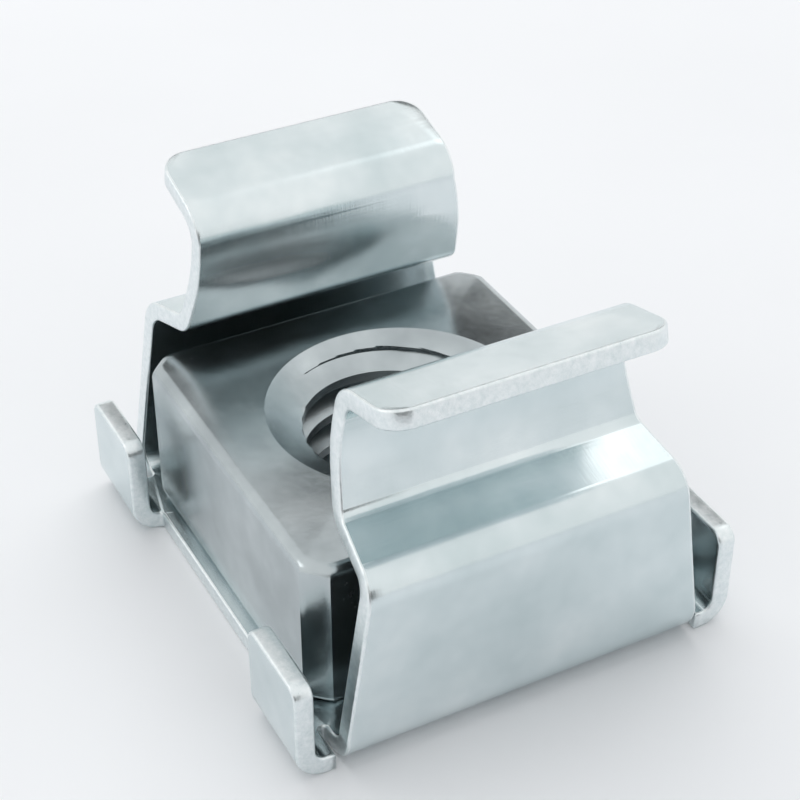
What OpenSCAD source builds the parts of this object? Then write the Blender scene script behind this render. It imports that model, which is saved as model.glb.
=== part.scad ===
// Cage nut for square-punched rack rails: a square nut held loosely in a cage
// folded from one strip of spring steel. The base of the cage lies on Z = 0
// with its middle at the origin, the two wings stand at -X and +X, and their
// hooks point up (+Z) to the panel that the cage snaps into. Millimetres.

/* [Square nut] */
// Width across the flats of the nut
nut_w = 10; // [9.6:0.1:10.6]
// Width across the rounded corners of the nut
nut_corners = 13.4; // [12.6:0.1:13.5]
// Thickness of the nut
nut_t = 4.3; // [3.6:0.1:5.2]
// Bevel along the edges of both faces of the nut
nut_bevel = 0.3; // [0.1:0.05:0.5]
// Diameter of the bore, at the crests of the M6 thread
bore_d = 5; // [4.9:0.02:5.2]
// Diameter of the countersink on both faces
countersink_d = 6.9; // [6.4:0.1:7.4]
// Depth of each countersink
countersink_h = 0.55; // [0.3:0.05:0.8]

/* [Play of the nut in the cage] */
// Total play between the two walls
wall_play = 2.3; // [1.8:0.1:2.8]
// Total play between the ears
ear_play = 1.2; // [0.8:0.1:1.6]
// Play under the shoulders, with the nut on the base
shoulder_play = 0.6; // [0.4:0.05:0.9]

/* [Panel] */
// Side of the square hole that the cage snaps into
panel_hole = 9.5; // [9.3:0.1:9.8]
// Clearance between the hole and the neck, on each side
neck_play = 0.1; // [0.05:0.05:0.2]
// Distance from the shoulders up to the hooks
grip_h = 2.9; // [2.7:0.1:3.5]
// How far the hooks reach past the edge of the hole
hook_reach = 1.7; // [1.2:0.1:2.1]

/* [Cage strip] */
// Thickness of the spring steel
sheet = 0.5; // [0.4:0.02:0.56]
// Diameter of the hole in the base
base_hole_d = 7.8; // [7.4:0.1:8.4]
// Width of a wall at the base
foot_w = 9.8; // [9.2:0.1:10]
// Width of a wing at the shoulder
shoulder_w = 8.4; // [7.8:0.1:8.9]
// Width of a wing at the hook
hook_w = 7.4; // [6.6:0.1:7.7]
// Radius of the corners at the end of a hook
hook_corner_r = 0.7; // [0.3:0.1:1]

/* [Ears] */
// Length of an ear along the side of the base
ear_l = 2.6; // [2:0.1:3]
// Height of an ear above the underside of the base
ear_h = 2.9; // [2.2:0.1:3.4]
// Distance from an ear to the outside of the wall
ear_setback = 0.25; // [0.2:0.05:0.5]
// Radius of the corners on top of an ear
ear_corner_r = 0.4; // [0.2:0.1:0.6]
// Width of the relief slit between an ear and the wall
slit_w = 0.2; // [0.15:0.05:0.25]

/* [Folds] */
// Inside radius between the base and a wall
base_fold_r = 0.5; // [0.3:0.05:0.6]
// Inside radius between the base and an ear
ear_fold_r = 0.3; // [0.2:0.05:0.35]
// Inside radius between a wall and its shoulder
shoulder_fold_r = 0.4; // [0.3:0.05:0.6]
// Inside radius between a shoulder and the neck
neck_fold_r = 0.35; // [0.25:0.05:0.5]
// Inside radius of the gentle curve of the neck
neck_curve_r = 3; // [2:0.1:3.2]
// Inside radius between the neck and the hook
hook_fold_r = 0.6; // [0.4:0.05:0.7]
// Slope of the shoulder above the horizontal
shoulder_rise = 15; // [8:1:20]
// Lean of the neck towards the middle
neck_lean = 19; // [14:1:22]
// Flare of the neck at its top
neck_flare = 8; // [4:1:12]
// Slope of the hook above the horizontal
hook_rise = 15; // [5:1:22]

/* [Hidden] */
$fn = 96;

cut = 1;                       // how far a cutter runs past what it cuts
lap = 0.2;                     // how far a wing or an ear runs into the base
hook_lead = 0.1;               // straight stretch between the neck's curve and the hook
facet_turn = 10;               // largest turn from one facet of a fold to the next
corner_inset = 0.85;           // of a corner's radius, from each edge to the arc's centre
shoulder_turn = 90 - shoulder_rise; // from the wall into the shoulder

// The base and its two rows of ears
wall_x = (nut_w + wall_play) / 2 + sheet;     // outside of a wall
ear_y = (nut_w + ear_play) / 2 + sheet;       // outside of an ear
fold_x = wall_x - sheet - base_fold_r;        // where a wall starts to fold
ear_fold_y = ear_y - sheet - ear_fold_r;      // where an ear starts to fold
ear_end_x = wall_x - ear_setback;             // outer end of an ear
slit_y = foot_w / 2 + slit_w;                 // far side of a relief slit

// Lengths of the straight stretches of a wing, along its outer face
shoulder_outer_r = shoulder_fold_r + sheet;
neck_x = panel_hole / 2 - neck_play;
shoulder_run = (wall_x - shoulder_outer_r * (1 - cos(shoulder_turn))
    + neck_fold_r * (cos(shoulder_turn) - cos(neck_lean)) - neck_x) / sin(shoulder_turn);
neck_run = (grip_h - neck_fold_r * (sin(shoulder_turn) - sin(neck_lean))
    - neck_curve_r * (sin(neck_lean) + sin(neck_flare))
    - hook_lead * cos(neck_flare)
    - hook_fold_r * (cos(hook_rise) - sin(neck_flare))) / cos(neck_lean);
hook_x = neck_x - neck_run * sin(neck_lean)
    + neck_curve_r * (cos(neck_lean) - cos(neck_flare))
    + hook_lead * sin(neck_flare)
    + hook_fold_r * (cos(neck_flare) - sin(hook_rise));
hook_run = (panel_hole / 2 + hook_reach - hook_x) / cos(hook_rise);

// Heights of the folds of a wing, along its outer face
shoulder_start_x = wall_x - shoulder_outer_r * (1 - cos(shoulder_turn));
shoulder_under_z = sheet + nut_t + shoulder_play;   // over the edge of the nut
shoulder_fold_z = shoulder_under_z + sheet / cos(shoulder_rise)
    - (shoulder_start_x - nut_w / 2) * tan(shoulder_rise)
    - shoulder_outer_r * sin(shoulder_turn);
wall_run = shoulder_fold_z - sheet - base_fold_r;
shoulder_z = shoulder_fold_z + shoulder_outer_r * sin(shoulder_turn)
    + shoulder_run * cos(shoulder_turn);
hook_z = shoulder_z + grip_h;
top_z = hook_z + hook_run * sin(hook_rise) + sheet;

cage_colour = "#cdd6da";
nut_colour = "#b9c4ca";

function along(heading) = [cos(heading), sin(heading)];
function left_of(heading) = [-sin(heading), cos(heading)];
function reversed(list) = [for (i = [len(list) - 1:-1:0]) list[i]];

// Points along one side of a folded strip, `lift` above its outer face. Each
// fold is [straight length before it, turn to the left, inside radius].
function side_points(folds, end_run, lift, at, heading = 0, i = 0) =
    i == len(folds)
    ? [at + end_run * along(heading) + lift * left_of(heading)]
    : let (
        turn = folds[i][1],
        centre_lift = turn > 0 ? sheet + folds[i][2] : -folds[i][2],
        centre = at + folds[i][0] * along(heading) + centre_lift * left_of(heading),
        facets = ceil(abs(turn) / facet_turn)
    )
    concat(
        [for (k = [0:facets])
            centre + (lift - centre_lift) * left_of(heading + turn * k / facets)],
        side_points(folds, end_run, lift,
            centre - centre_lift * left_of(heading + turn), heading + turn, i + 1)
    );

// Section of a strip that lies flat at `start`, outer face down, is folded
// and goes on straight for `end_run`
module folded_strip(start, folds, end_run) {
    outer = concat([start], side_points(folds, end_run, 0, start));
    inner = concat([start + [0, sheet]], side_points(folds, end_run, sheet, start));
    polygon(concat(outer, reversed(inner)));
}

// Section of a wing from the fold at the base to the end of the hook
module wing_section() {
    folded_strip([fold_x - lap, 0], [
        [lap, 90, base_fold_r],
        [wall_run, shoulder_turn, shoulder_fold_r],
        [shoulder_run, neck_lean - shoulder_turn, neck_fold_r],
        [neck_run, -neck_lean - neck_flare, neck_curve_r],
        [hook_lead, neck_flare + hook_rise - 90, hook_fold_r]
    ], hook_run);
}

// Outline of a wing seen along X: it tapers from the base to the hook
module wing_outline() {
    levels = [
        [foot_w / 2, -cut],
        [foot_w / 2, sheet + base_fold_r],
        [shoulder_w / 2, (shoulder_fold_z + shoulder_z) / 2],
        [hook_w / 2, hook_z - hook_fold_r],
        [hook_w / 2, top_z + cut]
    ];
    polygon(concat(levels, [for (level = reversed(levels)) [-level[0], level[1]]]));
}

// What is punched away to round a corner that lies at the origin, of a plate
// in the quarter below and to the left. The arc meets both edges at an angle.
module corner_waste(radius) {
    inset = corner_inset * radius;
    translate([-inset, -inset])
        difference() {
            square(radius + cut);
            circle(radius);
        }
}

module hook_corners() {
    translate([hook_x, 0, hook_z])
        rotate([0, -hook_rise, 0])
        for (side = [0, 1])
            mirror([0, side, 0])
            translate([hook_run, hook_w / 2, -cut])
            linear_extrude(sheet + 2 * cut)
            corner_waste(hook_corner_r);
}

module wing() {
    difference() {
        intersection() {
            rotate([90, 0, 0])
                linear_extrude(foot_w + 2 * cut, center = true)
                wing_section();
            rotate([90, 0, 90])
                linear_extrude(wall_x + hook_reach)
                wing_outline();
        }
        hook_corners();
    }
}

// One ear, folded up from the side of the base at +Y
module ear() {
    ear_run = ear_h - sheet - ear_fold_r;
    middle_x = ear_end_x - ear_l / 2;
    difference() {
        translate([ear_end_x - ear_l, 0, 0])
            rotate([90, 0, 90])
            linear_extrude(ear_l)
            folded_strip([ear_fold_y - lap, 0], [[lap, 90, ear_fold_r]], ear_run);
        for (side = [0, 1])
            translate([middle_x, ear_y + cut, ear_h])
                mirror([side, 0, 0])
                translate([ear_l / 2, 0, 0])
                rotate([90, 0, 0])
                linear_extrude(sheet + ear_fold_r + 2 * cut)
                corner_waste(ear_corner_r);
    }
}

// Flat part of the base, slit beside each wall
module base() {
    linear_extrude(sheet)
        difference() {
            square([2 * ear_end_x, 2 * ear_fold_y], center = true);
            circle(d = base_hole_d);
            for (side = [0, 1]) {
                mirror([side, 0])
                    translate([fold_x, -slit_y])
                    square([ear_setback + cut + base_fold_r + sheet, 2 * slit_y]);
                for (edge = [-slit_y, foot_w / 2])
                    mirror([side, 0])
                    translate([fold_x - slit_w, edge])
                    square([slit_w + cut, slit_w]);
            }
        }
}

module cage() {
    color(cage_colour) {
        base();
        for (side = [0, 1])
            mirror([side, 0, 0]) {
                wing();
                for (edge = [0, 1])
                    mirror([0, edge, 0]) ear();
            }
    }
}

// Upright section of the nut's body for a given width, with bevelled corners
module nut_section(width) {
    half = width / 2;
    polygon([
        [-half, nut_bevel],
        [nut_bevel - half, 0],
        [half - nut_bevel, 0],
        [half, nut_bevel],
        [half, nut_t - nut_bevel],
        [half - nut_bevel, nut_t],
        [nut_bevel - half, nut_t],
        [-half, nut_t - nut_bevel]
    ]);
}

// Body of the nut: square, with its corners and their bevels turned
module nut_body() {
    intersection() {
        intersection_for (turn = [0, 90])
            rotate([90, 0, turn])
            linear_extrude(nut_w + 2 * cut, center = true)
            nut_section(nut_w);
        rotate_extrude()
            intersection() {
                nut_section(nut_corners);
                square([nut_corners, nut_t]);
            }
    }
}

// The nut lies on the base, in the middle of the cage
module square_nut() {
    color(nut_colour)
        translate([0, 0, sheet])
        difference() {
            nut_body();
            translate([0, 0, -cut]) cylinder(d = bore_d, h = nut_t + 2 * cut);
            cylinder(d1 = countersink_d, d2 = bore_d, h = countersink_h);
            translate([0, 0, nut_t - countersink_h])
                cylinder(d1 = bore_d, d2 = countersink_d, h = countersink_h);
        }
}

cage();
square_nut();
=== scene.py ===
"""Looks of the rack cage nut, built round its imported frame.

The cage is made as the real one is: a blank is cut out of flat strip, its
sheared edges are rounded over, and the blank is then folded. The nut is one
surface swept round its bore, which carries the M6 thread. Sizes are in
millimetres until a mesh is finished, and positions come from the frame.
"""

import math

import bmesh
import bpy
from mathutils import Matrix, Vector


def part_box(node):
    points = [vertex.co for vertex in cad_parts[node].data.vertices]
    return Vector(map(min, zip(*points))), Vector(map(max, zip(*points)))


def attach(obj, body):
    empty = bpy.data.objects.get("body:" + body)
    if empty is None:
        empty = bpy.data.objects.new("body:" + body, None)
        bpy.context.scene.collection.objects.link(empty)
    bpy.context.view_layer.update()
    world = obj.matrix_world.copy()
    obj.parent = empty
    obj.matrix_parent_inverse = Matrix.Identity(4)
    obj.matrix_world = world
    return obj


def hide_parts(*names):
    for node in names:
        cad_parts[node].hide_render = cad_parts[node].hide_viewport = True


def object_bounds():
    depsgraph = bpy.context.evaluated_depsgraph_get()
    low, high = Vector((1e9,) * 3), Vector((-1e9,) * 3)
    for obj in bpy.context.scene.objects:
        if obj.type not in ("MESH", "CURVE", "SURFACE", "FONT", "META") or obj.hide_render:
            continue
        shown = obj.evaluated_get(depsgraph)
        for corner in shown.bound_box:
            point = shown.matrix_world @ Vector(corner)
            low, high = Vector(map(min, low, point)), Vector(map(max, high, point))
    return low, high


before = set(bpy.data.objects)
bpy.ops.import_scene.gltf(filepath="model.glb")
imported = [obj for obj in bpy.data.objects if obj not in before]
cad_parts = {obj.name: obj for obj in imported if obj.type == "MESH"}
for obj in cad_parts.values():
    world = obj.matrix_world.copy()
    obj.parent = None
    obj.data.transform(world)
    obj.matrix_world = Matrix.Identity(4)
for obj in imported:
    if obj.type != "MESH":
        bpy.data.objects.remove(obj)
cad_low, cad_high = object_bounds()
cage_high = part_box("cage")[1]
nut_low, nut_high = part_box("square_nut")

MM = 0.001

# Cage: the strip and its folds, with the sizes of the part's source
SHEET = nut_low.z / MM
WALL_X = cage_high.x / MM
EAR_Y = cage_high.y / MM
FOOT_W = 9.8
SHOULDER_W = 8.4
HOOK_W = 7.4
HOOK_CORNER_R = 0.7
BASE_HOLE_D = 7.8
EAR_L = 2.6
EAR_H = 2.9
EAR_SETBACK = 0.25
EAR_CORNER_R = 0.4
EAR_ROOT_R = 0.12
SLIT_W = 0.2
SLIT_END_R = SLIT_W * 0.45
PANEL_HOLE = 9.5
NECK_PLAY = 0.1
GRIP_H = 2.9
HOOK_REACH = 1.7
SHOULDER_PLAY = 0.6
BASE_FOLD_R = 0.5
EAR_FOLD_R = 0.3
SHOULDER_FOLD_R = 0.4
NECK_FOLD_R = 0.35
NECK_CURVE_R = 3.0
HOOK_FOLD_R = 0.6
HOOK_LEAD = 0.1
SHOULDER_RISE = math.radians(15)
NECK_LEAN = math.radians(19)
NECK_FLARE = math.radians(8)
HOOK_RISE = math.radians(15)

# Nut
NUT_W = (nut_high.x - nut_low.x) / MM
NUT_T = (nut_high.z - nut_low.z) / MM
NUT_CORNERS = 13.4
NUT_BEVEL = 0.3
BORE_D = 5.0
THREAD_D = 6.0
PITCH = 1.0
COUNTERSINK_D = 6.9
COUNTERSINK_H = 0.55

# Shares of the pitch that are flat at the thread's crest and root
CREST_FLAT = 0.25
ROOT_FLAT = 0.125

# Place of the cut edge's material among the cage's two
CUT_EDGE_SLOT = 1

# Detail of the meshes
CUT_EDGE_R = 0.07
CUT_EDGE_STEPS = 3
FACET_TURN = math.radians(6)
ARC_STEPS = 8
HOLE_STEPS = 128
NUT_COLUMNS = 224
CORNER_STEPS = 4
BEVEL_STEPS = 4
THREAD_ROWS = 32
SHARP_ANGLE = math.radians(26)
SPLIT_REACH = 1e-5
WELD_REACH = 1e-4

RIGHT_ANGLE = math.pi / 2
FULL_TURN = 2 * math.pi


def direction(angle):
    """The flat unit vector that points at an angle."""
    return Vector((math.cos(angle), math.sin(angle)))


def left_of(angle):
    """The flat unit vector a quarter turn to the left of an angle."""
    return Vector((-math.sin(angle), math.cos(angle)))


def towards(azimuth, elevation):
    """The unit vector from the part to a viewer. Azimuth 0 is at -Y."""
    a, e = math.radians(azimuth), math.radians(elevation)
    return Vector((math.sin(a) * math.cos(e), -math.cos(a) * math.cos(e), math.sin(e)))


# ---------------------------------------------------------------- folding

class Stretch:
    """A straight or curved stretch of a folded strip."""

    def __init__(self, begin, length, point, heading, turn=0.0, centre_lift=0.0):
        self.begin = begin
        self.end = begin + length
        self.point = point
        self.heading = heading
        self.turn = turn
        self.centre_lift = centre_lift

    def place(self, along, lift):
        """Where a point of the flat blank comes to lie, as (out, up)."""
        if not self.turn:
            return (self.point + (along - self.begin) * direction(self.heading)
                    + lift * left_of(self.heading))
        centre = self.point + self.centre_lift * left_of(self.heading)
        share = (along - self.begin) / (self.end - self.begin)
        return centre + (lift - self.centre_lift) * left_of(self.heading + self.turn * share)

    def stations(self):
        """Where the blank needs a row of points for this fold to look round."""
        if not self.turn:
            return []
        count = math.ceil(abs(self.turn) / FACET_TURN)
        return [self.begin + (self.end - self.begin) * i / count for i in range(count + 1)]


def fold_strip(start, folds, end_run):
    """Stretches of a strip that lies flat up to `start`. Each fold is
    (straight length before it, turn to the left, inside radius)."""
    made = []
    along = start
    point = Vector((start, 0.0))
    heading = 0.0
    for straight, turn, radius in folds:
        made.append(Stretch(along, straight, point, heading))
        along += straight
        point = point + straight * direction(heading)
        centre_lift = SHEET + radius if turn > 0 else -radius
        length = abs(turn) * (radius + SHEET / 2)
        made.append(Stretch(along, length, point, heading, turn, centre_lift))
        centre = point + centre_lift * left_of(heading)
        along += length
        heading += turn
        point = centre - centre_lift * left_of(heading)
    made.append(Stretch(along, end_run, point, heading))
    return made


def place_on(stretches, along, lift):
    """Where a point of the flat blank comes to lie once it is all folded."""
    for stretch in stretches:
        if along <= stretch.end:
            return stretch.place(along, lift)
    return stretches[-1].place(along, lift)


def wing_stretches():
    """The wing, with the lengths that bring its folds to the panel hole."""
    shoulder_turn = RIGHT_ANGLE - SHOULDER_RISE
    shoulder_outer_r = SHOULDER_FOLD_R + SHEET
    neck_x = PANEL_HOLE / 2 - NECK_PLAY
    shoulder_start_x = WALL_X - shoulder_outer_r * (1 - math.cos(shoulder_turn))
    shoulder_run = (
        shoulder_start_x - neck_x
        + NECK_FOLD_R * (math.cos(shoulder_turn) - math.cos(NECK_LEAN))
    ) / math.sin(shoulder_turn)
    neck_run = (
        GRIP_H
        - NECK_FOLD_R * (math.sin(shoulder_turn) - math.sin(NECK_LEAN))
        - NECK_CURVE_R * (math.sin(NECK_LEAN) + math.sin(NECK_FLARE))
        - HOOK_LEAD * math.cos(NECK_FLARE)
        - HOOK_FOLD_R * (math.cos(HOOK_RISE) - math.sin(NECK_FLARE))
    ) / math.cos(NECK_LEAN)
    hook_x = (
        neck_x
        - neck_run * math.sin(NECK_LEAN)
        + NECK_CURVE_R * (math.cos(NECK_LEAN) - math.cos(NECK_FLARE))
        + HOOK_LEAD * math.sin(NECK_FLARE)
        + HOOK_FOLD_R * (math.cos(NECK_FLARE) - math.sin(HOOK_RISE))
    )
    hook_run = (PANEL_HOLE / 2 + HOOK_REACH - hook_x) / math.cos(HOOK_RISE)
    shoulder_fold_z = (
        SHEET + NUT_T + SHOULDER_PLAY
        + SHEET / math.cos(SHOULDER_RISE)
        - (shoulder_start_x - NUT_W / 2) * math.tan(SHOULDER_RISE)
        - shoulder_outer_r * math.sin(shoulder_turn)
    )
    wall_run = shoulder_fold_z - SHEET - BASE_FOLD_R
    return fold_strip(WALL_X - SHEET - BASE_FOLD_R, [
        (0.0, RIGHT_ANGLE, BASE_FOLD_R),
        (wall_run, shoulder_turn, SHOULDER_FOLD_R),
        (shoulder_run, NECK_LEAN - shoulder_turn, NECK_FOLD_R),
        (neck_run, -NECK_LEAN - NECK_FLARE, NECK_CURVE_R),
        (HOOK_LEAD, NECK_FLARE + HOOK_RISE - RIGHT_ANGLE, HOOK_FOLD_R),
    ], hook_run)


def ear_stretches():
    """An ear, which is folded straight up from the base."""
    return fold_strip(
        EAR_Y - SHEET - EAR_FOLD_R,
        [(0.0, RIGHT_ANGLE, EAR_FOLD_R)],
        EAR_H - SHEET - EAR_FOLD_R,
    )


# ------------------------------------------------------------------ blank

def rounded(corner, before, after, radius):
    """Points of an arc that rounds a corner of the blank."""
    towards_before = (before - corner).normalized()
    towards_after = (after - corner).normalized()
    half = towards_before.angle(towards_after) / 2
    middle = (towards_before + towards_after).normalized()
    centre = corner + middle * radius / math.sin(half)
    first = corner + towards_before * radius / math.tan(half) - centre
    last = corner + towards_after * radius / math.tan(half) - centre
    sweep = first.angle_signed(last)
    start = math.atan2(first.y, first.x)
    return [
        centre + radius * direction(start - sweep * i / ARC_STEPS)
        for i in range(ARC_STEPS + 1)
    ]


def blank_outline(wing, ear):
    """Outline of the flat blank, counterclockwise from the tip at +X."""
    # Each fold has made two stretches, a straight one and the bend after it
    base_fold, shoulder_fold, hook_fold = wing[1], wing[3], wing[9]
    wing_end = wing[-1].end
    ear_end = ear[-1].end
    slit_x = wing[0].begin - SLIT_W
    slit_y = FOOT_W / 2 + SLIT_W
    ear_x = WALL_X - EAR_SETBACK
    # Corners of a quarter of the blank, with the radius of each
    quarter = [
        (wing_end, HOOK_W / 2, HOOK_CORNER_R),
        (hook_fold.begin, HOOK_W / 2, 0),
        (shoulder_fold.end, SHOULDER_W / 2, 0),
        (base_fold.end, FOOT_W / 2, 0),
        (slit_x, FOOT_W / 2, SLIT_END_R),
        (slit_x, slit_y, SLIT_END_R),
        (ear_x, slit_y, 0),
        (ear_x, ear_end, EAR_CORNER_R),
        (ear_x - EAR_L, ear_end, EAR_CORNER_R),
        (ear_x - EAR_L, ear[0].begin, EAR_ROOT_R),
    ]
    half = quarter + [(-x, y, r) for x, y, r in reversed(quarter)]
    corners = half + [(-x, -y, r) for x, y, r in half]
    points = [Vector((x, y)) for x, y, r in corners]
    outline = []
    for i, point in enumerate(points):
        radius = corners[i][2]
        if radius:
            after = points[(i + 1) % len(points)]
            outline += rounded(point, points[i - 1], after, radius)
        else:
            outline.append(point)
    return outline


def hole_outline(diameter):
    """A round hole, clockwise."""
    return [
        diameter / 2 * direction(-FULL_TURN * i / HOLE_STEPS)
        for i in range(HOLE_STEPS)
    ]


def inset(loop, distance):
    """The loop moved into the material, which lies on its left."""
    least_cosine = 0.5
    moved = []
    for i, point in enumerate(loop):
        ahead = (loop[(i + 1) % len(loop)] - point).normalized()
        behind = (point - loop[i - 1]).normalized()
        normal = Vector((-ahead.y - behind.y, ahead.x + behind.x)).normalized()
        cosine = max(normal.dot(Vector((-ahead.y, ahead.x))), least_cosine)
        moved.append(point + normal * distance / cosine)
    return moved


def cut_edge_profile():
    """(inset, height) of the points that round over a sheared edge."""
    low = []
    for i in range(CUT_EDGE_STEPS + 1):
        a = i / CUT_EDGE_STEPS * RIGHT_ANGLE
        low.append((CUT_EDGE_R * (1 - math.sin(a)), CUT_EDGE_R * (1 - math.cos(a))))
    high = [(x, SHEET - z) for x, z in reversed(low)]
    return low + high


def ring_edges(bm, ring):
    """The edges that join a ring of points into a closed loop."""
    return [bm.edges.get(ends) for ends in zip(ring, ring[1:] + ring[:1])]


def plate(loops):
    """A flat plate of the strip's thickness with its sheared edges rounded."""
    bm = bmesh.new()
    bottom = []
    top = []
    for loop in loops:
        rings = [
            [bm.verts.new((p.x, p.y, height)) for p in inset(loop, distance)]
            for distance, height in cut_edge_profile()
        ]
        count = len(loop)
        for low, high in zip(rings, rings[1:]):
            for i in range(count):
                j = (i + 1) % count
                face = bm.faces.new((low[i], low[j], high[j], high[i]))
                face.material_index = CUT_EDGE_SLOT
        bottom += ring_edges(bm, rings[0])
        top += ring_edges(bm, rings[-1])
    for edges in (bottom, top):
        bmesh.ops.triangle_fill(bm, use_beauty=True, use_dissolve=False, edges=edges)
    bmesh.ops.recalc_face_normals(bm, faces=bm.faces)
    return bm


def cut_rows(bm, places, axis):
    """Splits the plate's faces along a row of points at each place."""
    for place in places:
        for side in (-1, 1):
            bmesh.ops.bisect_plane(
                bm, geom=bm.verts[:] + bm.edges[:] + bm.faces[:], dist=SPLIT_REACH,
                plane_co=axis * place * side, plane_no=axis,
            )


def map_flat(bm, name):
    """Keeps each point's place on the flat blank as texture coordinates."""
    layer = bm.loops.layers.uv.new(name)
    for face in bm.faces:
        for loop in face.loops:
            loop[layer].uv = (loop.vert.co.x, loop.vert.co.y)


def fold_blank(bm, wing, ear):
    """Moves each point of the flat blank to where the folds take it."""
    for vert in bm.verts:
        x, y, lift = vert.co
        if abs(x) > wing[0].begin and abs(y) < FOOT_W / 2 + SLIT_W / 2:
            out, up = place_on(wing, abs(x), lift)
            vert.co = (math.copysign(out, x), y, up)
        elif abs(y) > ear[0].begin:
            out, up = place_on(ear, abs(y), lift)
            vert.co = (x, math.copysign(out, y), up)


def make_cage():
    """The cage: blank, rows of points for its folds, and then the folds."""
    wing = wing_stretches()
    ear = ear_stretches()
    bm = plate([blank_outline(wing, ear), hole_outline(BASE_HOLE_D)])
    cut_rows(bm, [s for stretch in wing for s in stretch.stations()], Vector((1, 0, 0)))
    cut_rows(bm, [s for stretch in ear for s in stretch.stations()], Vector((0, 1, 0)))
    map_flat(bm, "strip")
    fold_blank(bm, wing, ear)
    return to_object(bm, "cage_strip", [zinc_sheet(), zinc_cut_edge()])


# -------------------------------------------------------------------- nut

def thread_radius(turns):
    """Radius of the thread at a place given in turns past its crest."""
    crest = BORE_D / 2
    root = THREAD_D / 2
    place = abs((turns + 0.5) % 1 - 0.5)
    slope_start = CREST_FLAT / 2
    slope_end = 0.5 - ROOT_FLAT / 2
    share = (place - slope_start) / (slope_end - slope_start)
    return crest + (root - crest) * min(max(share, 0), 1)


def countersink_radius(height):
    """Radius of the countersinks at a height above the nut's underside."""
    depth = min(height, NUT_T - height)
    return COUNTERSINK_D / 2 - (COUNTERSINK_D - BORE_D) / 2 * depth / COUNTERSINK_H


def nut_outline(angle, shrink):
    """Distance from the axis to the side of the nut, less a bevel."""
    from_middle = (angle + RIGHT_ANGLE / 2) % RIGHT_ANGLE - RIGHT_ANGLE / 2
    flat = (NUT_W / 2 - shrink) / math.cos(from_middle)
    return min(flat, NUT_CORNERS / 2 - shrink)


def nut_angles():
    """Angles of the nut's columns, with one at each end of its corner arcs."""
    corner = math.acos(NUT_W / NUT_CORNERS)
    marks = []
    for quarter in range(4):
        middle = quarter * RIGHT_ANGLE
        marks += [middle - corner, middle + corner]
    marks.append(marks[0] + FULL_TURN)
    angles = []
    for begin, end in zip(marks, marks[1:]):
        count = max(CORNER_STEPS, round((end - begin) / FULL_TURN * NUT_COLUMNS))
        angles += [begin + (end - begin) * i / count for i in range(count)]
    return angles + [marks[-1]]


def nut_column(angle):
    """(radius, height) round the nut's closed section at an angle: up the
    bore along the thread, and down the outside between the two bevels."""
    column = []
    turn = angle / FULL_TURN
    # A row this close to a face of the nut is moved onto the face
    margin = PITCH / THREAD_ROWS / 2
    for row in range(-THREAD_ROWS, round((NUT_T / PITCH + 1) * THREAD_ROWS)):
        height = (row / THREAD_ROWS + turn) * PITCH
        if height < margin:
            height = 0
        if height > NUT_T - margin:
            height = NUT_T
        radius = max(thread_radius(height / PITCH - turn), countersink_radius(height))
        column.append((radius, height))
    bevel = []
    for i in range(BEVEL_STEPS + 1):
        a = i / BEVEL_STEPS * RIGHT_ANGLE
        radius = nut_outline(angle, NUT_BEVEL * (1 - math.sin(a)))
        bevel.append((radius, NUT_BEVEL * (1 - math.cos(a))))
    column += [(radius, NUT_T - drop) for radius, drop in bevel]
    column += reversed(bevel)
    return column


def make_nut():
    """The nut, as columns of points that are joined into one surface."""
    bm = bmesh.new()
    base = nut_low.z / MM
    columns = []
    for angle in nut_angles():
        spot = direction(angle)
        columns.append([
            bm.verts.new((radius * spot.x, radius * spot.y, base + height))
            for radius, height in nut_column(angle)
        ])
    count = len(columns[0])
    for here, there in zip(columns, columns[1:]):
        for i in range(count):
            j = (i + 1) % count
            bm.faces.new((here[i], here[j], there[j], there[i]))
    # The last column lies on the first one, a turn further along the thread
    bmesh.ops.remove_doubles(bm, verts=bm.verts, dist=WELD_REACH)
    bmesh.ops.recalc_face_normals(bm, faces=bm.faces)
    for edge in bm.edges:
        edge.smooth = edge.calc_face_angle(0) < SHARP_ANGLE
    return to_object(bm, "threaded_nut", [zinc_nut()])


def to_object(bm, name, materials):
    """Turns a mesh in millimetres into an object with smooth shading."""
    bmesh.ops.scale(bm, vec=(MM, MM, MM), verts=bm.verts)
    mesh = bpy.data.meshes.new(name)
    bm.to_mesh(mesh)
    bm.free()
    for polygon in mesh.polygons:
        polygon.use_smooth = True
    for material in materials:
        mesh.materials.append(material)
    made = bpy.data.objects.new(name, mesh)
    bpy.context.scene.collection.objects.link(made)
    normals = made.modifiers.new("even_shading", "WEIGHTED_NORMAL")
    normals.weight = 100
    normals.keep_sharp = True
    return made


# -------------------------------------------------------------- materials

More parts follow.
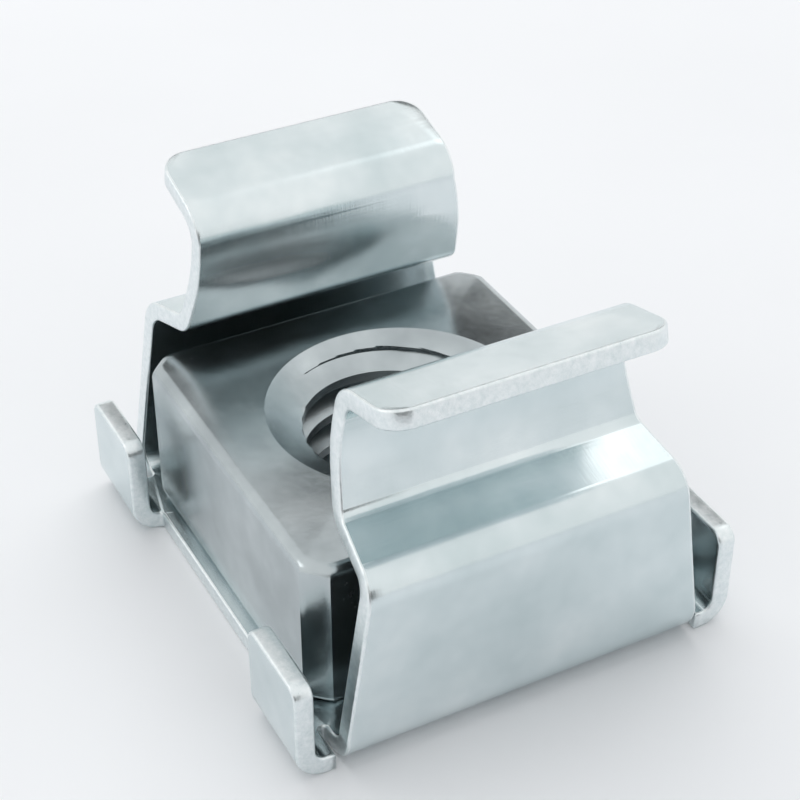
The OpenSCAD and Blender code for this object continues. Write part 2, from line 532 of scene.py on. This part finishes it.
class Nodes:
    """Short calls for making a material's nodes."""

    def __init__(self, name):
        self.material = bpy.data.materials.new(name)
        self.material.use_nodes = True
        self.tree = self.material.node_tree
        self.shader = self.tree.nodes["Principled BSDF"]

    def add(self, kind, **settings):
        node = self.tree.nodes.new(kind)
        for key, value in settings.items():
            setattr(node, key, value)
        return node

    def link(self, output, socket):
        self.tree.links.new(output, socket)

    def coordinates(self, source, scale):
        place = self.add("ShaderNodeTexCoord")
        mapping = self.add("ShaderNodeMapping")
        mapping.inputs["Scale"].default_value = scale
        self.link(place.outputs[source], mapping.inputs["Vector"])
        return mapping.outputs["Vector"]

    def noise(self, vector, scale, detail=2.0, roughness=0.5):
        node = self.add("ShaderNodeTexNoise")
        node.inputs["Scale"].default_value = scale
        node.inputs["Detail"].default_value = detail
        node.inputs["Roughness"].default_value = roughness
        self.link(vector, node.inputs["Vector"])
        return node.outputs["Fac"]

    def ramp(self, factor, stops):
        node = self.add("ShaderNodeValToRGB")
        elements = node.color_ramp.elements
        while len(elements) < len(stops):
            elements.new(0.5)
        for element, (position, colour) in zip(elements, stops):
            element.position = position
            element.color = (*colour, 1)
        self.link(factor, node.inputs["Fac"])
        return node.outputs["Color"]

    def spread(self, factor, low, high):
        node = self.add("ShaderNodeMapRange")
        node.inputs["To Min"].default_value = low
        node.inputs["To Max"].default_value = high
        self.link(factor, node.inputs["Value"])
        return node.outputs["Result"]

    def average(self, first, second):
        node = self.add("ShaderNodeMix")
        node.inputs["Factor"].default_value = 0.5
        self.link(first, node.inputs["A"])
        self.link(second, node.inputs["B"])
        return node.outputs["Result"]

    def bump(self, height, distance, strength, below=None):
        node = self.add("ShaderNodeBump")
        node.inputs["Distance"].default_value = distance
        node.inputs["Strength"].default_value = strength
        self.link(height, node.inputs["Height"])
        if below is not None:
            self.link(below, node.inputs["Normal"])
        return node.outputs["Normal"]


def grey(value):
    return (value, value, value)


def zinc_sheet():
    """Bluish zinc plating on rolled strip: fine streaks along the strip."""
    nodes = Nodes("zinc_spring_steel")
    flat = nodes.coordinates("UV", (1, 1, 1))
    streaked = nodes.coordinates("UV", (0.5, 12, 1))
    scratched = nodes.coordinates("UV", (9, 0.35, 1))
    body = nodes.coordinates("Object", (1 / MM, 1 / MM, 1 / MM))
    cloud = nodes.noise(body, 0.4, 3.0, 0.55)
    tint = nodes.ramp(cloud, [
        (0.32, (0.60, 0.685, 0.70)),
        (0.52, (0.69, 0.765, 0.78)),
        (0.70, (0.79, 0.85, 0.86)),
    ])
    nodes.link(tint, nodes.shader.inputs["Base Color"])
    streak = nodes.noise(streaked, 1.6, 5.0, 0.65)
    smear = nodes.noise(flat, 0.55, 3.0, 0.6)
    nodes.link(
        nodes.average(nodes.spread(streak, 0.10, 0.34), nodes.spread(smear, 0.12, 0.34)),
        nodes.shader.inputs["Roughness"],
    )
    dents = nodes.bump(nodes.noise(flat, 0.7, 1.0), 0.035 * MM, 0.5)
    rolled = nodes.bump(streak, 0.004 * MM, 0.5, dents)
    scratch = nodes.spread(nodes.noise(scratched, 1.0, 2.0, 0.5), -1.6, 2.6)
    nodes.link(nodes.bump(scratch, 0.0012 * MM, 0.4, rolled), nodes.shader.inputs["Normal"])
    nodes.shader.inputs["Metallic"].default_value = 1.0
    return nodes.material


def zinc_cut_edge():
    """The sheared edge of the strip, brighter and rougher than its faces."""
    nodes = Nodes("zinc_cut_edge")
    body = nodes.coordinates("Object", (1 / MM, 1 / MM, 1 / MM))
    grain = nodes.noise(body, 6.0, 4.0, 0.7)
    tint = nodes.ramp(grain, [(0.3, (0.70, 0.77, 0.78)), (0.7, (0.88, 0.92, 0.93))])
    nodes.link(tint, nodes.shader.inputs["Base Color"])
    nodes.link(nodes.spread(grain, 0.2, 0.45), nodes.shader.inputs["Roughness"])
    nodes.link(nodes.bump(grain, 0.02 * MM, 0.5), nodes.shader.inputs["Normal"])
    nodes.shader.inputs["Metallic"].default_value = 1.0
    return nodes.material


def zinc_nut():
    """The nut's plating: greyer, over a pressed and tumbled surface."""
    nodes = Nodes("zinc_nut_steel")
    body = nodes.coordinates("Object", (1 / MM, 1 / MM, 1 / MM))
    cloud = nodes.noise(body, 0.5, 3.0, 0.55)
    tint = nodes.ramp(cloud, [
        (0.3, (0.38, 0.425, 0.44)),
        (0.5, (0.46, 0.51, 0.525)),
        (0.72, (0.56, 0.61, 0.625)),
    ])
    nodes.link(tint, nodes.shader.inputs["Base Color"])
    grain = nodes.noise(body, 5.0, 5.0, 0.65)
    smear = nodes.noise(body, 0.7, 3.0, 0.6)
    nodes.link(
        nodes.average(nodes.spread(grain, 0.12, 0.34), nodes.spread(smear, 0.12, 0.36)),
        nodes.shader.inputs["Roughness"],
    )
    dents = nodes.bump(nodes.noise(body, 0.8, 1.0), 0.02 * MM, 0.4)
    nodes.link(nodes.bump(grain, 0.006 * MM, 0.4, dents), nodes.shader.inputs["Normal"])
    nodes.shader.inputs["Metallic"].default_value = 1.0
    return nodes.material


# ----------------------------------------------------------------- studio

def floor_material():
    """Pale, slightly mottled paper."""
    nodes = Nodes("pale_floor")
    place = nodes.coordinates("Object", (60, 60, 60))
    mottle = nodes.noise(place, 1.0, 3.0)
    tint = nodes.ramp(mottle, [(0.3, (0.90, 0.905, 0.91)), (0.7, (0.925, 0.93, 0.935))])
    nodes.link(tint, nodes.shader.inputs["Base Color"])
    nodes.shader.inputs["Roughness"].default_value = 0.7
    return nodes.material


def make_sheet(name, half_size, segments, material):
    """A flat square of the studio, which is stage and not part."""
    bm = bmesh.new()
    bmesh.ops.create_grid(bm, x_segments=segments, y_segments=segments, size=half_size)
    mesh = bpy.data.meshes.new(name)
    bm.to_mesh(mesh)
    bm.free()
    mesh.materials.append(material)
    sheet = bpy.data.objects.new(name, mesh)
    bpy.context.scene.collection.objects.link(sheet)
    return sheet


def make_floor():
    """The floor that the part stands on."""
    floor = make_sheet("floor", 1.5, 8, floor_material())
    floor.location.z = cad_low.z


def make_card(name, azimuth, distance, width, height, lift, value):
    """An upright card beside the part, seen only in its reflections."""
    nodes = Nodes(name)
    mottle = nodes.noise(nodes.coordinates("Object", (3, 3, 3)), 1.0)
    tint = nodes.ramp(mottle, [(0.3, grey(value)), (0.7, grey(value * 1.3))])
    nodes.link(tint, nodes.shader.inputs["Base Color"])
    nodes.shader.inputs["Roughness"].default_value = 0.9
    card = make_sheet(name, 0.5, 2, nodes.material)
    card.scale = (width, height, 1)
    card.location = towards(azimuth, 0) * distance + Vector((0, 0, lift))
    card.rotation_euler = (math.radians(90), 0, math.radians(azimuth))
    card.visible_camera = False
    card.visible_diffuse = False
    card.visible_shadow = False


def make_lamp(name, azimuth, elevation, distance, size, power):
    """A round soft lamp that points at the part."""
    light = bpy.data.lights.new(name, "AREA")
    light.shape = "DISK"
    light.size = size
    light.energy = power
    lamp = bpy.data.objects.new(name, light)
    out = towards(azimuth, elevation)
    lamp.location = out * distance
    lamp.rotation_euler = out.to_track_quat("Z", "Y").to_euler()
    bpy.context.scene.collection.objects.link(lamp)
    return lamp


def add_background(tree, colour, strength):
    """A background node of one colour and strength."""
    node = tree.nodes.new("ShaderNodeBackground")
    node.inputs["Color"].default_value = (*colour, 1)
    node.inputs["Strength"].default_value = strength
    return node


def make_world():
    """A soft ambient light that the camera and the reflections see as white."""
    world = bpy.data.worlds.new("studio")
    world.use_nodes = True
    tree = world.node_tree
    tree.nodes.clear()
    path = tree.nodes.new("ShaderNodeLightPath")
    seen = path.outputs["Is Camera Ray"]
    for ray in ("Is Glossy Ray", "Is Transmission Ray"):
        either = tree.nodes.new("ShaderNodeMath")
        either.operation = "MAXIMUM"
        tree.links.new(seen, either.inputs[0])
        tree.links.new(path.outputs[ray], either.inputs[1])
        seen = either.outputs[0]
    ambient = add_background(tree, (0.95, 0.97, 1.0), 0.70)
    white = add_background(tree, grey(1), 1.0)
    mix = tree.nodes.new("ShaderNodeMixShader")
    out = tree.nodes.new("ShaderNodeOutputWorld")
    tree.links.new(seen, mix.inputs[0])
    tree.links.new(ambient.outputs[0], mix.inputs[1])
    tree.links.new(white.outputs[0], mix.inputs[2])
    tree.links.new(mix.outputs[0], out.inputs["Surface"])
    bpy.context.scene.world = world


def make_camera(azimuth, elevation, lens, room):
    """A camera whose view is filled by the part, times the room left."""
    camera_data = bpy.data.cameras.new("camera")
    camera_data.lens = lens
    camera = bpy.data.objects.new("camera", camera_data)
    centre = (cad_low + cad_high) / 2
    radius = (cad_high - cad_low).length / 2
    back = towards(azimuth, elevation)
    half = math.atan(camera_data.sensor_width / 2 / lens)
    camera.location = centre + back * radius / math.sin(half) * room
    camera.rotation_euler = back.to_track_quat("Z", "Y").to_euler()
    camera_data.clip_start = radius * 0.01
    camera_data.clip_end = radius * 400
    bpy.context.scene.collection.objects.link(camera)
    bpy.context.scene.camera = camera


make_camera(azimuth=62, elevation=36, lens=85, room=0.97)
make_world()
make_floor()
# The key lamp lights the floor and the part, and the glint stands in for it in
# the reflections, where it would be a white patch
key = make_lamp("key", azimuth=245, elevation=62, distance=0.35, size=0.50, power=0.58)
key.visible_glossy = False
make_lamp("glint", azimuth=205, elevation=52, distance=0.40, size=0.14, power=0.03)
make_lamp("fill", azimuth=-25, elevation=30, distance=0.35, size=0.16, power=0.06)
make_card("card_front", azimuth=70, distance=0.2, width=0.22, height=0.10, lift=0.05, value=0.03)
make_card("card_back", azimuth=240, distance=0.25, width=0.26, height=0.11, lift=0.175, value=0.03)

cage = make_cage()
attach(cage, "root")
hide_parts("cage")

nut = make_nut()
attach(nut, "root")
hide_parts("square_nut")

bpy.context.scene.view_settings.view_transform = "Standard"
